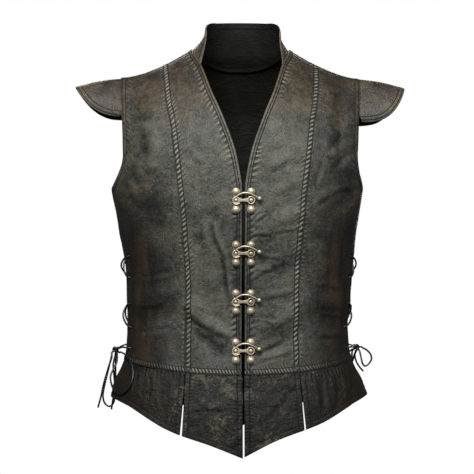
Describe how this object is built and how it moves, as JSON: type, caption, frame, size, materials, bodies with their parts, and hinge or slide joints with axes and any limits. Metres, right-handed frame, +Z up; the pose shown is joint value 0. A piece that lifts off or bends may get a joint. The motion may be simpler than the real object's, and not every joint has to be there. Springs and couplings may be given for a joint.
{
  "type": "leather jerkin",
  "caption": "Sleeveless hip-length leather jerkin with stand collar, shoulder wings, V neck closed by swing clasps, princess seams, tabbed pointed basque and laced sides.",
  "frame": {"origin": "midway between the two side neck points, at their height, where the wearer's shoulders carry the garment", "axes": "+Z up along the wearer's trunk, the front faces -Y, +X towards the wearer's left"},
  "size_m": [0.5259, 0.2851, 0.6852],
  "materials": {
    "leather": "soft black leather, rubbed to grey and brown on the high places, low sheen",
    "leather_back": "the same leather, a little less rubbed",
    "lace": "round black leather thong, matt",
    "brass": "antique brass with a dark patina in the hollows"
  },
  "bodies": {
    "root": {"back": "leather_back", "basque_back": "leather_back", "collar": "leather", "front_centre_right": "leather", "front_side_right": "leather", "front_tab_right": "leather", "side_tab_right": "leather", "wing_right": "leather", "lacing_right": "lace", "bow_loop_front_right": "lace", "bow_loop_back_right": "lace", "bow_end_front_right": "lace", "bow_end_back_right": "lace", "knot_right": "lace", "front_centre_left": "leather", "front_side_left": "leather", "front_tab_left": "leather", "side_tab_left": "leather", "wing_left": "leather", "lacing_left": "lace", "bow_loop_front_left": "lace", "bow_loop_back_left": "lace", "bow_end_front_left": "lace", "bow_end_back_left": "lace", "knot_left": "lace", "clasp_1_plate_right": "brass", "clasp_1_plate_left": "brass", "clasp_1_hook": "brass", "clasp_2_plate_right": "brass", "clasp_2_plate_left": "brass", "clasp_2_hook": "brass", "clasp_3_plate_right": "brass", "clasp_3_plate_left": "brass", "clasp_3_hook": "brass", "clasp_4_plate_right": "brass", "clasp_4_plate_left": "brass", "clasp_4_hook": "brass"}
  },
  "joints": []
}
